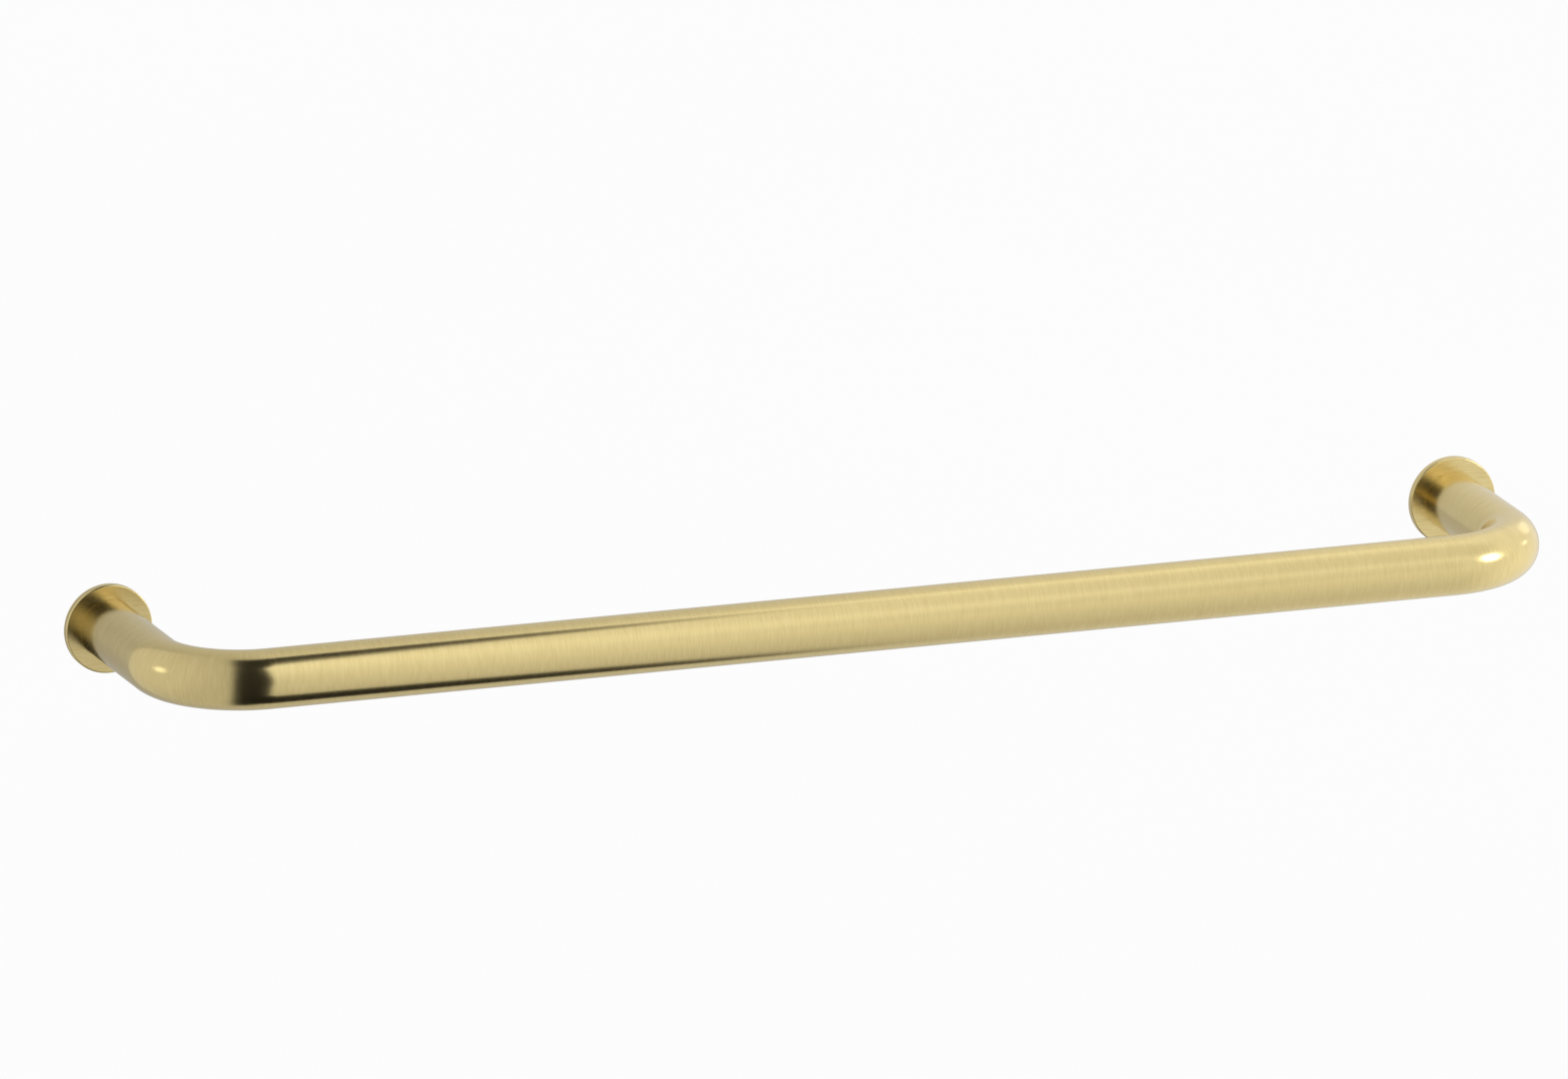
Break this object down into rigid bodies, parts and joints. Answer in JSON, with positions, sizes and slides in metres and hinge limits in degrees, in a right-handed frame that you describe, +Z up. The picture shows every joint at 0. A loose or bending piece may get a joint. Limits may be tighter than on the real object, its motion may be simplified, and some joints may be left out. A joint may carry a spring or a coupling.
{
  "type": "towel rail",
  "caption": "Brushed brass towel rail: a round tube bent at both ends into legs that stand on thin round wall roses, with a concealed grub-screw fixing.",
  "frame": {"origin": "on the wall plane, midway between the wall screw holes of the legs", "axes": "+X along the rail, to the right as seen from the room; +Y into the wall; +Z up"},
  "size_m": [0.4785, 0.084, 0.0284],
  "materials": {
    "brushed_tube": "brass, fine brushing round the tube, satin",
    "brushed_rose": "brass, fine straight brushing across the face, satin",
    "turned_brass": "bare turned brass",
    "screw_steel": "plain stainless steel"
  },
  "bodies": {
    "root": {"rail_tube": "brushed_tube", "left_rose": "brushed_rose", "right_rose": "brushed_rose", "left_wall_spigot": "turned_brass", "right_wall_spigot": "turned_brass", "left_leg_bush": "turned_brass", "right_leg_bush": "turned_brass", "grub_screws": "screw_steel"}
  },
  "joints": []
}
